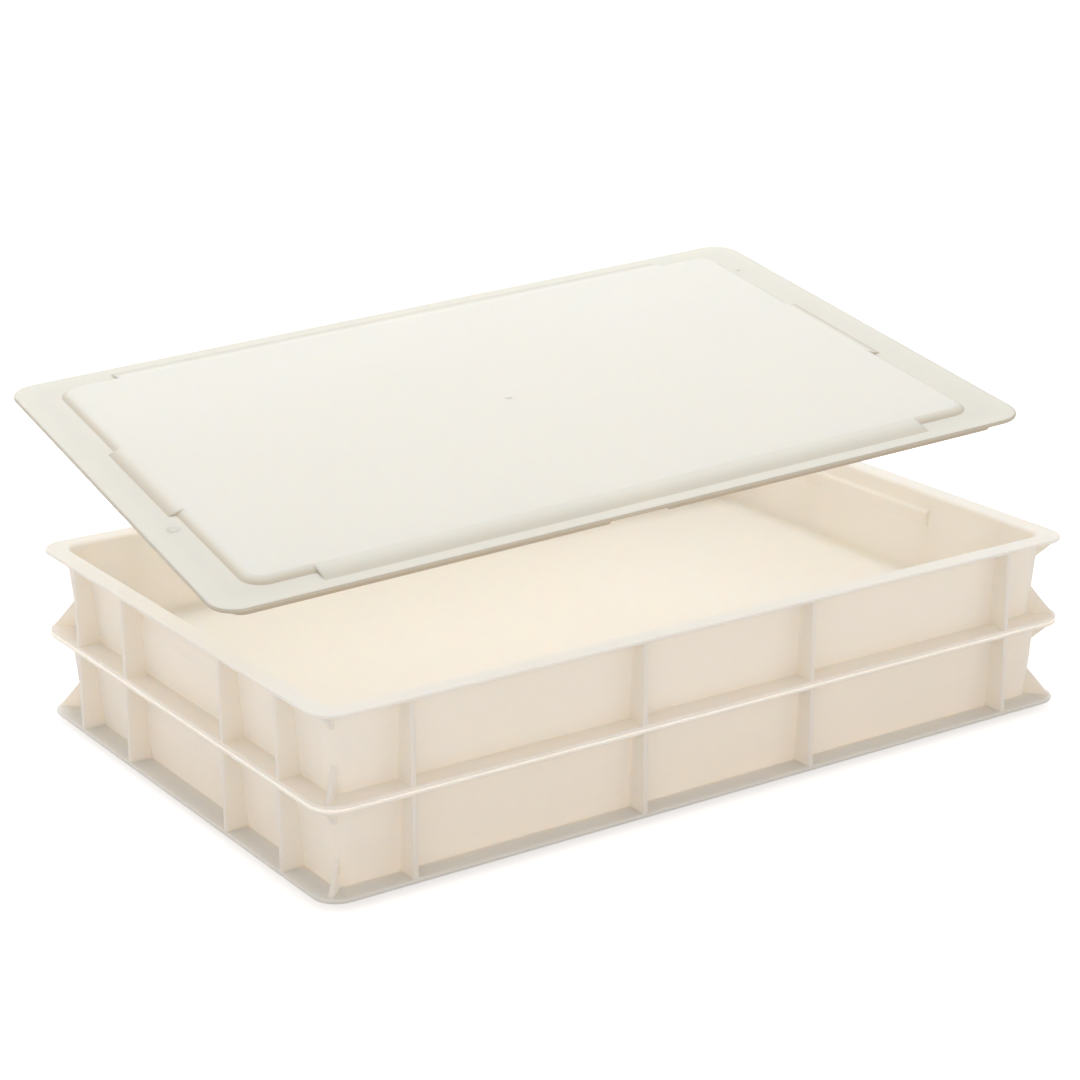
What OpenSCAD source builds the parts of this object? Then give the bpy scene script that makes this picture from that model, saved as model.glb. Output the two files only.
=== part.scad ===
// Stacking dough proofing container: two identical moulded trays and one lid, held above the stack.
// Millimetres. The origin is the centre of the lower tray's underside, +Z is up and X is the long side.
// A tray is one moulding: a drafted pan, a flat rim, a foot flange, upright ribs and corner gussets.

/* [Tray] */
// Outside length of the rim
tray_l = 600; // [420:10:800]
// Outside width of the rim
tray_w = 400; // [340:10:600]
// Distance from the underside of the foot flange to the top of the rim, which is one step of the stack
step_h = 61; // [48:1:140]
// Height of the spigot below the foot flange, which drops into the tray below
spigot_h = 5; // [3:0.5:8]
// Thickness of the side walls
wall_t = 2.5; // [1.8:0.1:3.5]
// Thickness of the floor
floor_t = 2.5; // [1.8:0.1:4]
// Radius where the floor turns up into the walls
floor_r = 5; // [2:0.5:12]
// Width of the rim, from its outer edge to the wall's outer face just below it
rim_over = 12; // [10:0.5:14]
// Thickness of the rim and of the foot flange
rim_t = 2.8; // [2:0.1:4]
// Radius of the outer corners of the rim
rim_r = 18; // [14:1:26]
// Radius that rolls the rim's inner edge over into the wall
roll_r = 2.5; // [1:0.5:5]
// Distance the walls lean in from the rim to the foot
draft = 5; // [2:0.5:6]
// Radius of the wall's outside corners just below the rim
corner_r = 13; // [12:1:24]
// Distance that the foot flange's edge lies inside the rim's edge
foot_in = 0.5; // [0.5:0.5:3]
// Gap on each side between a spigot or the lid's lip and the rim it drops into
nest_gap = 0.6; // [0.4:0.1:1.5]

/* [Ribs] */
// Thickness of the upright ribs and of the gussets
rib_t = 3.4; // [2:0.2:5]
// Distance of the inner ribs on the long sides from the middle
rib_x_in = 68; // [50:1:100]
// Distance of the outer ribs on the long sides from the middle
rib_x_out = 240; // [130:1:250]
// Distance that the ribs on the long sides lie to the right of the middle
rib_shift = 3.4; // [-8:0.2:8]
// Distance of the inner ribs on the short sides from the middle
rib_y_in = 69; // [50:1:84]
// Distance of the outer ribs on the short sides from the middle
rib_y_out = 142; // [100:1:150]
// Height of the gussets under the rim's corners
gusset_top_h = 13; // [6:1:18]
// Height of the gussets on the foot flange's corners
gusset_foot_h = 19; // [8:1:24]

/* [Grip] */
// Depth of the finger grip pressed into each short side below the rim
grip_d = 3.5; // [2:0.5:5]
// Depth below the rim's top at which the grip starts
grip_top = 11.4; // [11:0.2:15]
// Height of the grip, along which its sloping face runs out
grip_h = 14; // [10:1:24]

/* [Lid] */
// Thickness of the lid
lid_t = 2.8; // [2:0.1:4]
// Radius of the lid's corners
lid_r = 20; // [14:1:26]
// Height of the raised panel above the lid's flat border
panel_h = 3.6; // [2:0.2:6]
// Width of the flat border on the short sides
border_x = 29; // [26:1:34]
// Width of the flat border on the long sides, beside the corners
border_y = 23; // [21:1:30]
// Width of the sloping edge around the panel
slope = 6; // [4:0.5:8]
// Length of the long stretch where the panel's slope widens towards the edge
wide_l = 450; // [200:10:480]
// Width of the flat border along that stretch
wide_border = 11; // [9:0.5:16]
// Length of the short sides' middle stretch, where the panel is wider
side_l = 112; // [60:4:200]
// Distance that the panel is wider there
side_out = 5; // [2:0.5:8]
// Depth of the lip under the lid
lip_h = 10; // [5:0.5:10.5]
// Thickness of the lip
lip_t = 2.2; // [1.5:0.1:3]
// Length of the break in the lip at the middle of each long side
lip_break = 40; // [20:2:80]

/* [Lid position] */
// Height of the lid's middle above the upper tray's rim
lid_lift = 88.6; // [80:0.2:200]
// Distance that the raised lid is held towards the back
lid_back = 52.4; // [-60:0.4:60]
// Distance that the raised lid is held towards the right
lid_side = -2.4; // [-40:0.2:40]
// Tilt of the raised lid towards the front
lid_pitch = 6.9; // [-8:0.1:8]
// Tilt of the raised lid towards the left
lid_roll = -4.1; // [-5:0.1:5]
// Turn of the raised lid seen from above
lid_yaw = -6; // [-10:0.5:10]

/* [Hidden] */
$fn = 96;
quarter = 90;

edge_r = 0.8;
edge_steps = 3;
tray_h = spigot_h + step_h;
foot_top = spigot_h + rim_t;
rim_under = tray_h - rim_t;

// Corner axes of the pan, in from the outside of the rim, and the insets measured from that outside
axis_in = rim_over + corner_r;
inner_in = rim_over + wall_t;
foot_wall_in = rim_over + draft;
floor_wall_in = foot_wall_in + wall_t;
opening_r = axis_in - inner_in;
spigot_in = inner_in + nest_gap;
spigot_chamfer = 2;
rib_in = 1;

// The fillet at the floor is held to the radius of the pan's corners there
fillet_r = min(floor_r, axis_in - floor_wall_in - edge_r / 4);
fillet_steps = 6;
roll_steps = 6;

// A gusset's toe stands back from the rim's rounded corner and is cut off blunt
toe_in = 3;
toe_h = 1;
gusset_reach = (axis_in - rim_r) * sqrt(2) + rim_r - toe_in;

// Length by which a cut or a buried edge runs past the face that it ends at
past = 1;

// The grip's sloping face runs from the bottom of the grip up to a narrow flat, then a short roof closes it
grip_flat = 2;
grip_roof = 2.4;
grip_half = rib_y_in - rib_t / 2;

// The lid's lip has the spigot's inset and shares the pan's corner axes
lip_draft = 0.8;
panel_r = 16;
gate_r = 2.4;
gate_h = 0.4;
break_slant = 3;

tray_color = [0.93, 0.88, 0.79];
lid_color = [0.93, 0.92, 0.87];

// How far the wall has leant in at height z, from none at the rim's underside
function lean(z) = draft * (rim_under - z) / (rim_under - foot_top);

// Points of an arc about [cu, cz] that starts at angle a and turns by sweep
function arc(cu, cz, r, a, sweep, steps) =
    [for (i = [0:steps]) [cu + r * cos(a + sweep * i / steps), cz + r * sin(a + sweep * i / steps)]];

// Rounded edge of a plate, as a profile from its lower to its upper face
function plate_edge(r, z0, z1) = concat(
    arc(r - edge_r, z0 + edge_r, edge_r, -quarter, quarter, edge_steps),
    arc(r - edge_r, z1 - edge_r, edge_r, 0, quarter, edge_steps));

// A rounded rectangle whose side is the profile pts, with u measured out from its corner axes at (ax, ay)
module pan(ax, ay, pts) {
    last = len(pts) - 1;
    half = concat([[0, pts[0][1]]], pts, [[0, pts[last][1]]]);
    for (k = [0:3]) {
        sx = (k == 0 || k == 3) ? 1 : -1;
        sy = k < 2 ? 1 : -1;
        translate([sx * ax, sy * ay, 0])
            rotate([0, 0, quarter * k])
                rotate_extrude(angle = quarter)
                    polygon(half);
    }
    rotate([quarter, 0, quarter])
        linear_extrude(height = 2 * ax, center = true)
            polygon(both_sides(pts, ay));
    rotate([quarter, 0, 0])
        linear_extrude(height = 2 * ay, center = true)
            polygon(both_sides(pts, ax));
}

// The profile on both sides of a bar whose half width to the corner axis is a
function both_sides(pts, a) = concat(
    [for (p = pts) [a + p[0], p[1]]],
    [for (i = [len(pts) - 1:-1:0]) [-a - pts[i][0], pts[i][1]]]);

// A plate with rounded corners and edges, given by the inset of its edge from the rim's outside
module plate(inset, r, z0, z1) {
    pan(tray_l / 2 - inset - r, tray_w / 2 - inset - r, plate_edge(r, z0, z1));
}

module pan_outside() {
    pan(tray_l / 2 - axis_in, tray_w / 2 - axis_in, [
        [axis_in - foot_wall_in, spigot_h],
        [axis_in - foot_wall_in, foot_top],
        [corner_r, rim_under],
        [corner_r, tray_h - edge_r]]);
}

module spigot() {
    r = axis_in - spigot_in;
    pan(tray_l / 2 - axis_in, tray_w / 2 - axis_in, [
        [r - spigot_chamfer, 0],
        [r, spigot_chamfer],
        [r, spigot_h + edge_r]]);
}

module cavity() {
    r_floor = opening_r - lean(floor_t + fillet_r);
    pan(tray_l / 2 - axis_in, tray_w / 2 - axis_in, concat(
        arc(r_floor - fillet_r, floor_t + fillet_r, fillet_r, -quarter, quarter, fillet_steps),
        arc(opening_r + roll_r, tray_h - roll_r, roll_r, 2 * quarter, -quarter, roll_steps),
        [[opening_r + roll_r, tray_h + past]]));
}

// Upright ribs between the foot flange and the rim, on all four sides
module ribs() {
    depth = floor_wall_in - rib_in;
    height = rim_under - foot_top + rim_t;
    low = foot_top - rim_t / 2;
    for (s = [-1, 1]) {
        for (x = [-rib_x_out, -rib_x_in, rib_x_in, rib_x_out]) {
            translate([x + rib_shift - rib_t / 2, s > 0 ? tray_w / 2 - floor_wall_in : rib_in - tray_w / 2, low])
                cube([rib_t, depth, height]);
        }
        for (y = [-rib_y_out, -rib_y_in, rib_y_in, rib_y_out]) {
            translate([s > 0 ? tray_l / 2 - floor_wall_in : rib_in - tray_l / 2, y - rib_t / 2, low])
                cube([depth, rib_t, height]);
        }
    }
}

// Diagonal gussets that brace the rim and the foot flange at each corner
module gussets() {
    root = axis_in - floor_wall_in;
    low = foot_top + gusset_foot_h;
    high = rim_under - gusset_top_h;
    for (k = [0:3]) {
        sx = (k == 0 || k == 3) ? 1 : -1;
        sy = k < 2 ? 1 : -1;
        translate([sx * (tray_l / 2 - axis_in), sy * (tray_w / 2 - axis_in), 0])
            rotate([quarter, 0, quarter * k + quarter / 2])
                linear_extrude(height = rib_t, center = true) {
                    polygon([[root, foot_top - rim_t / 2], [gusset_reach, foot_top - rim_t / 2],
                        [gusset_reach, foot_top + toe_h], [corner_r - lean(low), low], [root, low]]);
                    polygon([[opening_r, rim_under + rim_t / 2], [opening_r, high], [corner_r - lean(high), high],
                        [gusset_reach, rim_under - toe_h], [gusset_reach, rim_under + rim_t / 2]]);
                }
    }
}

// Side profile of the grip at one short side, [distance in from the rim's outside, height], pushed in by push
function grip_profile(out_in, push, drop) = [
    [out_in, tray_h - grip_top - drop],
    [out_in + push, tray_h - grip_top - grip_roof - drop],
    [out_in + push, tray_h - grip_top - grip_roof - grip_flat - drop],
    [out_in + lean(tray_h - grip_top - grip_h), tray_h - grip_top - grip_h - drop],
    [out_in - past, tray_h - grip_top - grip_h - drop],
    [out_in - past, tray_h - grip_top - drop]];

// A bar of that profile along both short sides
module grip_bars(out_in, push, drop, half) {
    for (s = [-1, 1]) {
        rotate([quarter, 0, 0])
            linear_extrude(height = 2 * half, center = true)
                polygon([for (p = grip_profile(out_in, push, drop)) [s * (tray_l / 2 - p[0]), p[1]]]);
    }
}

module tray() {
    difference() {
        union() {
            difference() {
                union() {
                    pan_outside();
                    plate(0, rim_r, rim_under, tray_h);
                    plate(foot_in, rim_r - foot_in, spigot_h, foot_top);
                    spigot();
                    ribs();
                    gussets();
                }
                cavity();
            }
            grip_bars(inner_in, grip_d, 0, grip_half + wall_t);
        }
        grip_bars(rim_over, grip_d, wall_t, grip_half);
    }
}

// The raised panel's solid, dropped by drop: its slopes are wider along the long sides
module panel(drop) {
    hx = tray_l / 2 - border_x;
    hy = tray_w / 2 - border_y;
    wy = tray_w / 2 - wide_border;
    translate([0, 0, -drop]) {
        pan(hx - panel_r, hy - panel_r, [
            [panel_r, -past],
            [panel_r, 0],
            [panel_r - slope, panel_h]]);
        rotate([quarter, 0, quarter])
            linear_extrude(height = wide_l, center = true)
                polygon([[-wy, -past], [wy, -past], [wy, 0], [hy - slope, panel_h], [slope - hy, panel_h], [-wy, 0]]);
        rotate([quarter, 0, 0])
            linear_extrude(height = side_l, center = true)
                polygon([[-hx - side_out, -past], [hx + side_out, -past], [hx + side_out, 0],
                    [hx - slope, panel_h], [slope - hx, panel_h], [-hx - side_out, 0]]);
    }
}

// The lip that drops inside a rim, broken at the middle of both long sides
module lip() {
    r = axis_in - spigot_in;
    low = -lid_t - lip_h;
    difference() {
        pan(tray_l / 2 - axis_in, tray_w / 2 - axis_in, [
            [r - lip_draft, low],
            [r, -lid_t],
            [r, -lid_t / 2]]);
        pan(tray_l / 2 - axis_in, tray_w / 2 - axis_in, [
            [r - lip_draft - lip_t, low - past],
            [r - lip_draft - lip_t, low],
            [r - lip_t, -lid_t],
            [r - lip_t, past]]);
        rotate([quarter, 0, 0])
            linear_extrude(height = 2 * tray_w, center = true)
                polygon([[-lip_break / 2, -lid_t], [lip_break / 2, -lid_t], [lip_break / 2, low + break_slant],
                    [lip_break / 2 + break_slant, low - past], [-lip_break / 2 - break_slant, low - past],
                    [-lip_break / 2, low + break_slant]]);
    }
}

module lid_shape() {
    difference() {
        union() {
            plate(0, lid_r, -lid_t, 0);
            panel(0);
        }
        panel(lid_t);
    }
    lip();
    translate([0, 0, panel_h - gate_h])
        cylinder(r = gate_r, h = 2 * gate_h);
}

module lower_tray() {
    color(tray_color)
        tray();
}

module upper_tray() {
    color(tray_color)
        translate([0, 0, step_h])
            tray();
}

module lid() {
    color(lid_color)
        translate([lid_side, lid_back, step_h + tray_h + lid_lift])
            rotate([lid_pitch, lid_roll, lid_yaw])
                lid_shape();
}

lower_tray();
upper_tray();
lid();
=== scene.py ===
"""Looks of a stacking dough proofing container: two moulded trays and a lid held above them.

The solids come from the frame. This script gives them their finish, adds the small marks that the mould
leaves on the lid, and sets up the floor, the soft studio light and the camera. Lengths are in metres,
+Z is up and the long side runs along X.
"""

import logging
import math
from dataclasses import dataclass, replace
from enum import Enum
from typing import Any

import bpy
import numpy as np
from mathutils import Euler, Matrix, Vector


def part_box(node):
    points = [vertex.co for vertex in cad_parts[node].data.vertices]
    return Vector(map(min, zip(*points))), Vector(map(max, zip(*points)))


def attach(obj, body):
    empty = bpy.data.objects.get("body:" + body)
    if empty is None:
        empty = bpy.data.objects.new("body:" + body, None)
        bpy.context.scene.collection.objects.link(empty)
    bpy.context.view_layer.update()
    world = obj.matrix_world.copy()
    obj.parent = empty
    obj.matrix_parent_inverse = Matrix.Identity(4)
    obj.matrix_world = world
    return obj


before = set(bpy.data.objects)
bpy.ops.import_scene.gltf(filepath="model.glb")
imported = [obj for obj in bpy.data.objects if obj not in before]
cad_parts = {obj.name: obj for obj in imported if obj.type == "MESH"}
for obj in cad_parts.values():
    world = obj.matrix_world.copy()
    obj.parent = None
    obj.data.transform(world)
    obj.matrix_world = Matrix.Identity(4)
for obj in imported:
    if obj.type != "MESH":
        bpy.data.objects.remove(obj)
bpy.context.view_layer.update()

LOG = logging.getLogger("proofing_container")

Colour = tuple[float, float, float]
Triple = tuple[float, float, float]

TRAYS = ("lower_tray", "upper_tray")
FLOOR = ("studio_floor",)
LID = ("lid", "lid_gate_mark", "lid_round_mark", "lid_pin_mark")
WHITE: Colour = (1.0, 1.0, 1.0)
PEACH: Colour = (1.0, 0.83, 0.71)


def linear_light(level: int) -> float:
    """Turn a display level from 0 to 255 into linear light from 0 to 1."""
    share = level / 255
    return share / 12.92 if share <= 0.04045 else ((share + 0.055) / 1.055) ** 2.4


def from_srgb(red: int, green: int, blue: int) -> Colour:
    """Turn a display colour, of three levels from 0 to 255, into linear light."""
    return linear_light(red), linear_light(green), linear_light(blue)


class Ray(Enum):
    """Kinds of ray that the floor and the world tell apart, by Blender's names for them."""

    CAMERA = "Is Camera Ray"
    GLOSSY = "Is Glossy Ray"
    TRANSMISSION = "Is Transmission Ray"


class Socket:
    """A value that flows through a shader, with Python's operators adding Math nodes."""

    def __init__(self, sheet: "ShaderSheet", socket: bpy.types.NodeSocket | None) -> None:
        """Keep the sheet and the output socket that this value comes from."""
        self.sheet = sheet
        self.socket = socket

    def _math(self, operation: str, first: "Socket | float", second: "Socket | float") -> "Socket":
        """Add one Math node.

        Args:
            operation: Blender's name of the operation.
            first: The first value.
            second: The second value.

        Returns:
            The node's result.
        """
        return self.sheet.add("ShaderNodeMath", {"operation": operation}, {0: first, 1: second})

    def __add__(self, other: "Socket | float") -> "Socket":
        """Sum."""
        return self._math("ADD", self, other)

    __radd__ = __add__

    def __sub__(self, other: "Socket | float") -> "Socket":
        """Difference."""
        return self._math("SUBTRACT", self, other)

    def __rsub__(self, other: "Socket | float") -> "Socket":
        """Difference from a number."""
        return self._math("SUBTRACT", other, self)

    def __mul__(self, other: "Socket | float") -> "Socket":
        """Product."""
        return self._math("MULTIPLY", self, other)

    __rmul__ = __mul__

    def __or__(self, other: "Socket") -> "Socket":
        """Larger of two values, which joins two masks."""
        return self._math("MAXIMUM", self, other)


class ShaderSheet:
    """The node tree of one material or world."""

    def __init__(self, tree: bpy.types.NodeTree) -> None:
        """Empty the tree."""
        self.tree = tree
        tree.nodes.clear()

    def add(self, kind: str, settings: dict[str, Any], values: dict[Any, Any], out: Any = 0) -> Socket:
        """Add a node, with its settings made first and its sockets filled next.

        Args:
            kind: Blender's type of the node.
            settings: Attributes of the node.
            values: What goes into each input socket, a number, a colour or a Socket.
            out: Name or place of the output socket that is wanted.

        Returns:
            That output.
        """
        node = self.tree.nodes.new(kind)
        for name, value in settings.items():
            setattr(node, name, value)
        for key, value in values.items():
            if isinstance(value, Socket):
                self.tree.links.new(value.socket, node.inputs[key])
            elif isinstance(value, tuple) and len(value) == 3 and node.inputs[key].type == "RGBA":
                node.inputs[key].default_value = (*value, 1.0)
            else:
                node.inputs[key].default_value = value
        return Socket(self, node.outputs[out] if len(node.outputs) else None)

    def vector(self, operation: str, first: Any, second: Any, out: str = "Vector") -> Socket:
        """Add one Vector Math node.

        Args:
            operation: Blender's name of the operation.
            first: The first vector.
            second: The second vector.
            out: Output that is wanted, Vector or Value.

        Returns:
            The node's result.
        """
        return self.add("ShaderNodeVectorMath", {"operation": operation}, {0: first, 1: second}, out)

    def blend(self, share: Socket, first: Any, second: Any) -> Socket:
        """Blend two colours.

        Args:
            share: Share of the second colour, from 0 to 1.
            first: The first colour.
            second: The second colour.

        Returns:
            The blended colour.
        """
        values = {0: share, 6: first, 7: second}
        return self.add("ShaderNodeMix", {"data_type": "RGBA"}, values, 2)

    def stretched(self, place: Socket, scale: Triple) -> Socket:
        """Scale a place, so that a texture read there is drawn out where the scale is small."""
        return self.add("ShaderNodeMapping", {}, {"Vector": place, "Scale": scale})

    def ramp(self, value: Socket, span: tuple[float, float]) -> Socket:
        """Turn a value into a smooth step from 0 to 1 between the two ends of the span."""
        values = {"Value": value, "From Min": span[0], "From Max": span[1]}
        return self.add("ShaderNodeMapRange", {"interpolation_type": "SMOOTHSTEP"}, values)

    def noise(self, place: Socket, scale: float, detail: float) -> Socket:
        """Add a smooth noise between 0 and 1, of so many features per metre and so many finer layers."""
        return self.add("ShaderNodeTexNoise", {}, {"Vector": place, "Scale": scale, "Detail": detail})

    def ray(self, kind: Ray) -> Socket:
        """Tell whether the surface is seen by a ray of this kind, 1 for yes and 0 for no."""
        return self.add("ShaderNodeLightPath", {}, {}, kind.value)


@dataclass(frozen=True)
class PaintedPanelShade:
    """Shade painted into the colour of a lid beside and below its raised panel.

    Attributes:
        middle: A point on the raised panel.
        up: The direction that the panel faces.
        colour: Linear colour that the painted shade tends to.
        border: Share of the painted shade on the border.
        slope: Further share of painted shade at the foot of a slope, which fades out towards its top.
        lip: Further share of painted shade on the lip under the border.
        border_depth: Depths below the panel between which the border's painted shade sets in.
        slope_lean: Sines of the lean between which the slope's painted shade sets in.
        lip_depth: Depths below the panel between which the lip's painted shade sets in.
    """

    middle: Vector
    up: Vector
    colour: Colour = (0.45, 0.42, 0.36)
    border: float = 0.15
    slope: float = 0.5
    lip: float = 0.25
    border_depth: tuple[float, float] = (0.0002, 0.0036)
    slope_lean: tuple[float, float] = (0.05, 0.32)
    lip_depth: tuple[float, float] = (0.0045, 0.0062)

    def with_painted_shade(self, sheet: ShaderSheet, place: Socket, colour: Socket) -> Socket:
        """Paint shade into the colour of the border, the slopes and the lip.

        Args:
            sheet: The node tree.
            place: Where the colour is wanted.
            colour: The colour without the painted shade.

        Returns:
            The colour with the painted shade.
        """
        up = tuple(self.up)
        below = self.middle.dot(self.up) - sheet.vector("DOT_PRODUCT", place, up, "Value")
        facing = sheet.add("ShaderNodeNewGeometry", {}, {}, "Normal")
        sideways = sheet.vector("CROSS_PRODUCT", facing, up)
        lean = sheet.add("ShaderNodeVectorMath", {"operation": "LENGTH"}, {0: sideways}, "Value")
        # Masks of painted shade: the border below the panel, the slopes and the lip.
        border = sheet.ramp(below, self.border_depth)
        slope = sheet.ramp(lean, self.slope_lean)
        lip = sheet.ramp(below, self.lip_depth)
        share = border * self.border + border * slope * self.slope + lip * self.lip
        return sheet.blend(share, colour, self.colour)


@dataclass(frozen=True)
class SatinPlastic:
    """Natural polyethylene, satin and slightly clear, as it comes out of the mould.

    Attributes:
        name: Name of the material.
        colour: Linear colour of most of the plastic.
        cloud: Linear colour of the places where the plastic set more slowly.
        roughness: Mean roughness of the moulded surface.
        refraction: Index of refraction.
        depth: Distance that light travels inside, in metres.
        share: Share of the light that goes inside.
        reach: How far red, green and blue go, as shares of the depth.
        soft_edge: Radius that the mould leaves on every edge, in metres.
        waviness: Height of the shallow waves left by cooling, in metres.
        grain: Height of the fine texture of the mould, in metres.
        clouds_per_m: Clouds per metre.
        waves_per_m: Waves per metre.
        streaks_per_m: Flow streaks per metre.
        grains_per_m: Grains of the mould's texture per metre.
        streak_draw: Scale of the streaks along X, Y and Z, small where they are drawn out.
        cloud_mix: Weights of the clouds and the streaks in the colour.
        gloss_mix: Weights of the clouds and the streaks in the roughness.
        shade: Shade painted into the colour beside and below a raised panel, if the piece has one.
    """

    name: str
    colour: Colour
    cloud: Colour
    roughness: float = 0.42
    refraction: float = 1.5
    depth: float = 0.009
    share: float = 1.0
    reach: Triple = (1.0, 0.79, 0.64)
    soft_edge: float = 0.0012
    waviness: float = 0.00012
    grain: float = 0.000012
    clouds_per_m: float = 9.0
    waves_per_m: float = 28.0
    streaks_per_m: float = 260.0
    grains_per_m: float = 1400.0
    streak_draw: Triple = (1.0, 1.0, 0.08)
    cloud_mix: tuple[float, float] = (0.9, 0.12)
    gloss_mix: tuple[float, float] = (0.12, 0.1)
    shade: PaintedPanelShade | None = None

    def material(self) -> bpy.types.Material:
        """Make the material.

        Returns:
            The material, ready to go on a mesh.
        """
        made = bpy.data.materials.new(self.name)
        made.use_nodes = True
        sheet = ShaderSheet(made.node_tree)
        place = sheet.add("ShaderNodeTexCoord", {}, {}, "Object")
        clouds = sheet.noise(place, self.clouds_per_m, 3.0)
        streaks = sheet.noise(sheet.stretched(place, self.streak_draw), self.streaks_per_m, 2.0)
        clouding = clouds * self.cloud_mix[0] + streaks * self.cloud_mix[1]
        colour = sheet.blend(clouding, self.colour, self.cloud)
        # Painted shade: the colour is darkened beside and below a raised panel.
        if self.shade:
            colour = self.shade.with_painted_shade(sheet, place, colour)
        unevenness = (clouds - 0.5) * self.gloss_mix[0] + (streaks - 0.5) * self.gloss_mix[1]
        shader = sheet.add("ShaderNodeBsdfPrincipled", {}, {
            "Base Color": colour,
            "Roughness": unevenness + self.roughness,
            "Normal": self._relief(sheet, place),
            "IOR": self.refraction,
            "Subsurface Weight": self.share,
            "Subsurface Radius": self.reach,
            "Subsurface Scale": self.depth,
        })
        sheet.add("ShaderNodeOutputMaterial", {}, {"Surface": shader})
        return made

    def _relief(self, sheet: ShaderSheet, place: Socket) -> Socket:
        """Make the shallow waves and the grain of the surface, on softened edges.

        Args:
            sheet: The node tree.
            place: Where the relief is wanted.

        Returns:
            The normal of the surface.
        """
        waves = sheet.noise(place, self.waves_per_m, 1.0)
        grain = sheet.noise(place, self.grains_per_m, 2.0)
        height = waves * self.waviness + grain * self.grain
        edge = sheet.add("ShaderNodeBevel", {"samples": 6}, {"Radius": self.soft_edge})
        return sheet.add("ShaderNodeBump", {}, {"Distance": 1.0, "Height": height, "Normal": edge})


TRAY_PLASTIC = SatinPlastic("tray_polyethylene", from_srgb(249, 242, 234), from_srgb(246, 238, 228))
LID_PLASTIC = SatinPlastic(
    "lid_polyethylene", from_srgb(246, 243, 233), from_srgb(241, 241, 230), soft_edge=0.003
)


@dataclass(frozen=True)
class MouldedPiece:
    """One moulding of the object, shown by its own solid.

    Attributes:
        node: Name of the solid.
        body: Name of the body that it moves with.
        slot: Name of the record's material slot; not used.
    """

    node: str
    body: str
    slot: str

    def build(self, material: bpy.types.Material) -> bpy.types.Object:
        """Dress the solid.

        Args:
            material: The plastic that it is made of.

        Returns:
            The dressed object.
        """
        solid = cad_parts[self.node]
        solid.data.materials.clear()
        solid.data.materials.append(material)
        LOG.info("%s rides on %s", solid.name, self.body)
        return solid


TRAY_PIECES = (
    MouldedPiece("lower_tray", "lower_tray", "tray_plastic"),
    MouldedPiece("upper_tray", "upper_tray", "tray_plastic"),
)
LID_PIECE = MouldedPiece("lid", "lid", "lid_plastic")


def rim_middle() -> Vector:
    """Middle of the upper tray's rim, at its top.

    Returns:
        The point in the part's own frame.
    """
    low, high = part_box("upper_tray")
    return Vector(((low.x + high.x) / 2, (low.y + high.y) / 2, high.z))


@dataclass(frozen=True)
class HeldLid:
    """Where the lid is held in the photograph.

    Attributes:
        offset: Middle of the lid's border from the middle of the upper rim.
        turn: Degrees about X, Y and Z, in that order.
        panel_height: Height of the raised panel above the border.
    """

    offset: Triple = (-0.0024, 0.0524, 0.0886)
    turn: Triple = (6.9, -4.1, -6.0)
    panel_height: float = 0.0036

    def pose(self) -> Matrix:
        """Place and turn of the lid.

        Returns:
            The matrix from the lid's own frame to the part's frame.
        """
        turn = Euler([math.radians(angle) for angle in self.turn], "XYZ").to_matrix().to_4x4()
        return Matrix.Translation(rim_middle() + Vector(self.offset)) @ turn

    def shade(self) -> PaintedPanelShade:
        """Shade painted into the lid's colour beside and below the raised panel, where the lid is held.

        Returns:
            The painted shade.
        """
        pose = self.pose()
        return PaintedPanelShade(pose @ Vector((0, 0, self.panel_height)), pose.to_3x3() @ Vector((0, 0, 1)))


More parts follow.
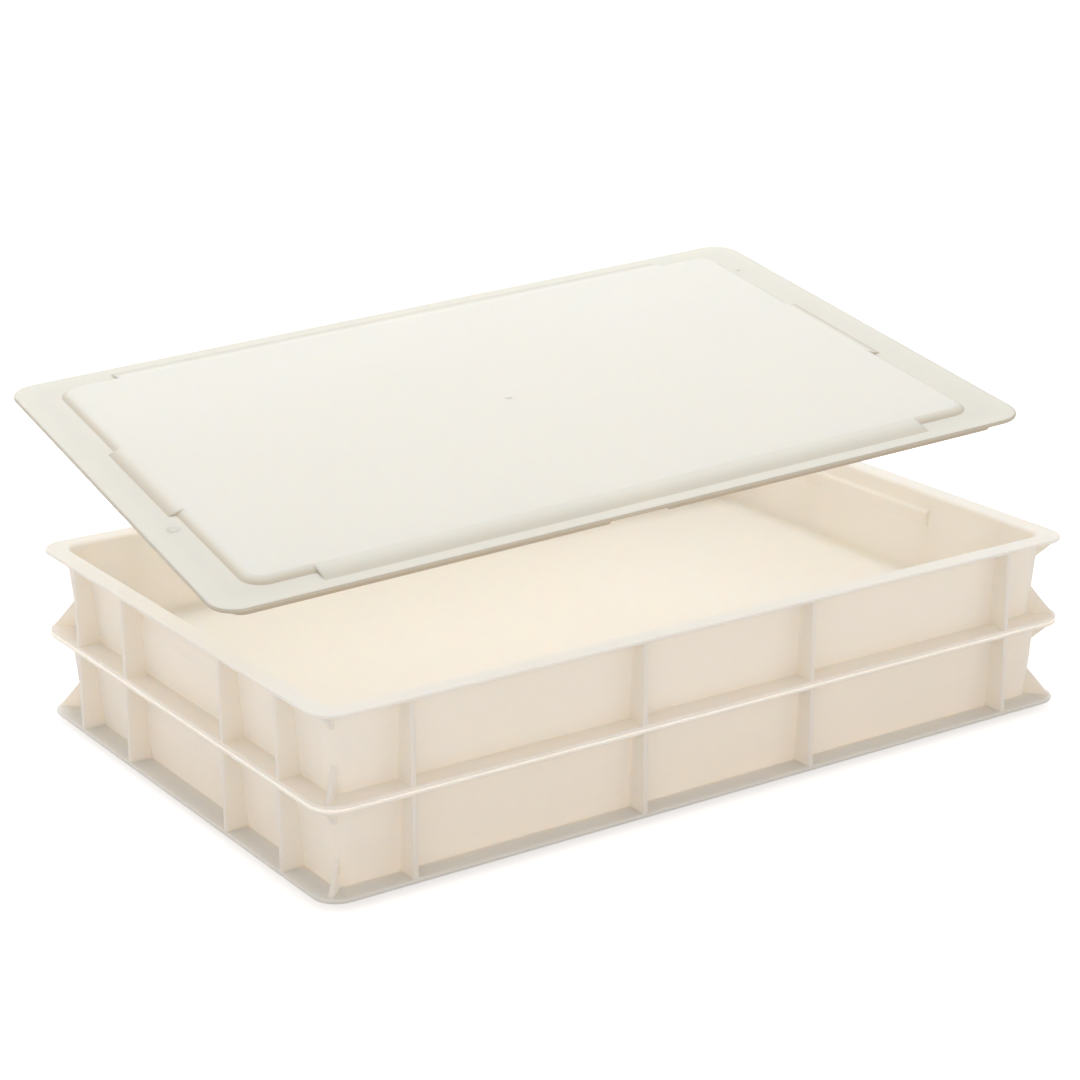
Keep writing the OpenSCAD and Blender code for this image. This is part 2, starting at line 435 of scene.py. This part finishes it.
@dataclass(frozen=True)
class MouldMark:
    """A small round mark that the mould leaves on the lid, made as a turned solid.

    Attributes:
        name: Name of the piece.
        place: Middle of the mark on the lid, in the lid's own frame.
        radius: Outer radius.
        nub: Height and width of the nub.
        ring: Height, distance from the middle and width of the ring.
        circles: Circles of points on its top.
        spokes: Points on each circle.
        root: Depth that it reaches into the plastic.
        dip: How far the outline lies below the surface of the plastic.
    """

    name: str
    place: Triple
    radius: float
    nub: tuple[float, float]
    ring: Triple
    circles: int = 18
    spokes: int = 40
    root: float = 0.0006
    dip: float = 0.00002

    def build(self, lid: HeldLid, material: bpy.types.Material) -> bpy.types.Object:
        """Make the mark on the lid.

        Args:
            lid: Where the lid is.
            material: The lid's plastic.

        Returns:
            The finished piece.
        """
        pose = np.array(lid.pose())
        points = self._points() @ pose[:3, :3].T + pose[:3, 3]
        mesh = bpy.data.meshes.new(self.name)
        mesh.from_pydata(points.tolist(), [], self._faces())
        mesh.shade_smooth()
        mesh.materials.append(material)
        piece = bpy.data.objects.new(self.name, mesh)
        bpy.context.scene.collection.objects.link(piece)
        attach(piece, "lid")
        LOG.info("%s rides on lid", piece.name)
        return piece

    def _points(self) -> np.ndarray:
        """Work out the points: a profile turned about the mark's own axis.

        The height above the plastic at a distance r from the middle is that of a rounded nub plus that
        of a rounded ring, less the dip. Both are bell-shaped: their height times e to the power of
        minus the square of (r less the bell's distance from the middle) over its width. At the outer
        radius the profile goes straight down to the root.

        Returns:
            The circles from the middle outwards, then the middle of the top and of the bottom.
        """
        reach = np.linspace(0, self.radius, self.circles + 1)[1:]
        nub = self.nub[0] * np.exp(-((reach / self.nub[1]) ** 2))
        ring = self.ring[0] * np.exp(-(((reach - self.ring[1]) / self.ring[2]) ** 2))
        reach = np.append(reach, self.radius)
        height = np.append(nub + ring - self.dip, -self.root)
        angle = np.linspace(0, 2 * np.pi, self.spokes, endpoint=False)
        circles = np.stack([
            np.outer(reach, np.cos(angle)),
            np.outer(reach, np.sin(angle)),
            np.repeat(height[:, None], self.spokes, axis=1),
        ], axis=-1).reshape(-1, 3)
        middles = np.array([(0, 0, self.nub[0] - self.dip), (0, 0, -self.root)])
        return np.vstack([circles, middles]) + np.array(self.place)

    def _faces(self) -> list[list[int]]:
        """Join the points: a fan in the middle, bands between the circles and a fan underneath.

        Returns:
            The points of each face, in the order that makes it face outwards.
        """
        spoke = np.arange(self.spokes)
        after = (spoke + 1) % self.spokes
        last = self.circles * self.spokes
        top = np.full(self.spokes, last + self.spokes)
        inner = self.spokes * np.arange(self.circles)[:, None]
        outer = inner + self.spokes
        bands = np.stack([inner + spoke, outer + spoke, outer + after, inner + after], axis=-1)
        fan = np.stack([top, spoke, after], axis=-1)
        underneath = np.stack([top + 1, last + after, last + spoke], axis=-1)
        return fan.tolist() + bands.reshape(-1, 4).tolist() + underneath.tolist()


MARKS = (
    MouldMark("lid_gate_mark", place=(0.0, -0.004, 0.0036), radius=0.004,
              nub=(0.00016, 0.0013), ring=(0.0, 0.002, 0.001)),
    MouldMark("lid_round_mark", place=(-0.280, -0.075, 0.0), radius=0.005,
              nub=(0.00012, 0.0009), ring=(0.00018, 0.0025, 0.0009)),
    MouldMark("lid_pin_mark", place=(0.277, 0.141, 0.0), radius=0.003,
              nub=(0.0004, 0.0014), ring=(0.0, 0.002, 0.001)),
)


@dataclass(frozen=True)
class PhotoCamera:
    """The camera that took the photograph, placed about the middle of the upper rim.

    Attributes:
        lens: Focal length for a sensor 36 mm wide.
        azimuth: Degrees round the object, from the front.
        elevation: Degrees above the horizon.
        distance: Distance from the middle of the upper rim.
        right: Shift along the picture's own right.
        up: Shift along the picture's own up.
        roll: Degrees that the picture is turned about the line of sight.
    """

    lens: float = 92.0
    azimuth: float = -33.663
    elevation: float = 18.099
    distance: float = 1.92415
    right: float = -0.009594
    up: float = 0.000192
    roll: float = -0.509

    def build(self, target: Vector) -> bpy.types.Object:
        """Create the camera and make it the scene's own.

        Args:
            target: Middle of the upper rim.

        Returns:
            The camera object.
        """
        turn, rise, roll = (math.radians(angle) for angle in (self.azimuth, self.elevation, self.roll))
        back = Vector((math.sin(turn) * math.cos(rise), -math.cos(turn) * math.cos(rise), math.sin(rise)))
        level = Vector((math.cos(turn), math.sin(turn), 0))
        upright = back.cross(level)
        across = math.cos(roll) * level + math.sin(roll) * upright
        along = math.cos(roll) * upright - math.sin(roll) * level
        data = bpy.data.cameras.new("photo_camera")
        data.sensor_width = 36
        data.lens = self.lens
        camera = bpy.data.objects.new("photo_camera", data)
        place = target + back * self.distance + across * self.right + along * self.up
        turned = Matrix((across, along, back)).transposed().to_4x4()
        camera.matrix_world = Matrix.Translation(place) @ turned
        bpy.context.scene.collection.objects.link(camera)
        bpy.context.scene.camera = camera
        return camera


@dataclass(frozen=True)
class SoftLamp:
    """A wide square lamp that lights some mouldings as if they stood alone.

    The mouldings were photographed apart and set together in the picture, so no moulding throws its
    shadow on another one, and a lamp may take its shadows only from the mouldings that it names.

    Attributes:
        name: Name of the lamp.
        lights: Pieces that it lights.
        shaded_by: Pieces that throw shadows in its light, or nothing for everything.
        place: Where the lamp hangs.
        side: Side of the square.
        watts: Power.
        colour: Colour of the light.
    """

    name: str
    lights: tuple[str, ...]
    shaded_by: tuple[str, ...] = ()
    place: Triple = (0.25, 0.7, 2.75)
    side: float = 1.6
    watts: float = 36.0
    colour: Colour = WHITE

    def build(self) -> bpy.types.Object:
        """Hang the lamp and aim it at the object.

        Returns:
            The lamp object.
        """
        data = bpy.data.lights.new(self.name, "AREA")
        data.shape = "SQUARE"
        data.size = self.side
        data.energy = self.watts
        data.color = self.colour
        lamp = bpy.data.objects.new(self.name, data)
        lamp.location = self.place
        lamp.visible_glossy = False
        lamp.rotation_mode = "QUATERNION"
        lamp.rotation_quaternion = (-Vector(self.place)).to_track_quat("-Z", "Y")
        bpy.context.scene.collection.objects.link(lamp)
        lamp.light_linking.receiver_collection = self._group("lit", self.lights)
        if self.shaded_by:
            lamp.light_linking.blocker_collection = self._group("shading", self.shaded_by)
        return lamp

    def _group(self, word: str, names: tuple[str, ...]) -> bpy.types.Collection:
        """Gather pieces in a collection of their own.

        Args:
            word: What the collection is for.
            names: Names of the pieces.

        Returns:
            The collection.
        """
        group = bpy.data.collections.new(f"{self.name}_{word}")
        for name in names:
            group.objects.link(bpy.data.objects[name])
        return group


def corner_softboxes(reach: float = 2.2, height: float = 0.3) -> tuple[SoftLamp, ...]:
    """Set a low warm softbox at each corner of the studio, for the walls of the trays.

    Args:
        reach: How far out they stand along X and along Y.
        height: Height of their middle above the floor.

    Returns:
        The four lamps.
    """
    softbox = SoftLamp("softbox", TRAYS + FLOOR, side=2.4, watts=23.0, colour=PEACH)
    return tuple(
        replace(softbox, name=f"softbox_{end}_{side}", place=(x, y, height))
        for end, y in (("front", -reach), ("back", reach))
        for side, x in (("left", -reach), ("right", reach))
    )


@dataclass(frozen=True)
class Studio:
    """White floor and backdrop, soft lamps and an even surrounding light.

    Attributes:
        floor_size: Side of the square floor.
        floor_colour: Colour of the floor.
        floor_glow: Brightness added where the camera sees the floor, so that it is white.
        surround: Strength of the light from all round.
        warmth: Colour of the light from all round.
        lamps: The lamps.
    """

    floor_size: float = 30.0
    floor_colour: Colour = (0.8, 0.8, 0.8)
    floor_glow: float = 0.62
    surround: float = 0.5
    warmth: Colour = (1.0, 0.98, 0.95)
    lamps: tuple[SoftLamp, ...] = (
        SoftLamp("lamp_lower_tray", ("lower_tray",), shaded_by=("lower_tray",), watts=48.0),
        SoftLamp("lamp_upper_tray", ("upper_tray",), shaded_by=("upper_tray",)),
        SoftLamp("lamp_lid", LID + FLOOR, place=(0.2, 1.3, 2.5), side=1.4, watts=38.0),
        *corner_softboxes(),
    )

    def build(self) -> None:
        """Make the floor, the lamps and the world."""
        self._floor()
        for lamp in self.lamps:
            lamp.build()
        self._world()
        LOG.info("studio is set")

    def _floor(self) -> None:
        """Make the floor, which looks white to the camera and still holds the object's shadow."""
        mesh = bpy.data.meshes.new("studio_floor")
        corners = np.array([(-1, -1, 0), (1, -1, 0), (1, 1, 0), (-1, 1, 0)]) * self.floor_size / 2
        mesh.from_pydata(corners.tolist(), [], [(0, 1, 2, 3)])
        floor = bpy.data.objects.new("studio_floor", mesh)
        bpy.context.scene.collection.objects.link(floor)
        paint = bpy.data.materials.new("studio_floor")
        paint.use_nodes = True
        sheet = ShaderSheet(paint.node_tree)
        matt = sheet.add("ShaderNodeBsdfDiffuse", {}, {"Color": self.floor_colour})
        strength = sheet.ray(Ray.CAMERA) * self.floor_glow
        glow = sheet.add("ShaderNodeEmission", {}, {"Strength": strength})
        both = sheet.add("ShaderNodeAddShader", {}, {0: matt, 1: glow})
        sheet.add("ShaderNodeOutputMaterial", {}, {"Surface": both})
        mesh.materials.append(paint)

    def _world(self) -> None:
        """Light evenly from all round, and show white to the camera, in gloss and through clear pieces."""
        world = bpy.data.worlds.new("studio_world")
        world.use_nodes = True
        sheet = ShaderSheet(world.node_tree)
        seen = sheet.ray(Ray.CAMERA) | sheet.ray(Ray.GLOSSY) | sheet.ray(Ray.TRANSMISSION)
        light = tuple(self.surround * share for share in self.warmth)
        values = {"Color": sheet.blend(seen, light, WHITE), "Strength": 1.0}
        sky = sheet.add("ShaderNodeBackground", {}, values)
        sheet.add("ShaderNodeOutputWorld", {}, {"Surface": sky})
        bpy.context.scene.world = world


def main() -> None:
    """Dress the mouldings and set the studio."""
    logging.basicConfig(level=logging.INFO, format="%(name)s: %(message)s")
    tray_material = TRAY_PLASTIC.material()
    for tray in TRAY_PIECES:
        tray.build(tray_material)
    lid = HeldLid()
    # The lid's plastic gets shade painted into its colour beside and below the raised panel; the marks'
    # plastic is made from it.
    lid_plastic = replace(LID_PLASTIC, shade=lid.shade())
    LID_PIECE.build(lid_plastic.material())
    mark_plastic = replace(lid_plastic, name="lid_mark_polyethylene", share=0.0, soft_edge=0.0001)
    mark_material = mark_plastic.material()
    for mark in MARKS:
        mark.build(lid, mark_material)
    Studio().build()
    PhotoCamera().build(rim_middle())
    bpy.context.scene.view_settings.view_transform = "Standard"


if __name__ == "__main__":
    main()
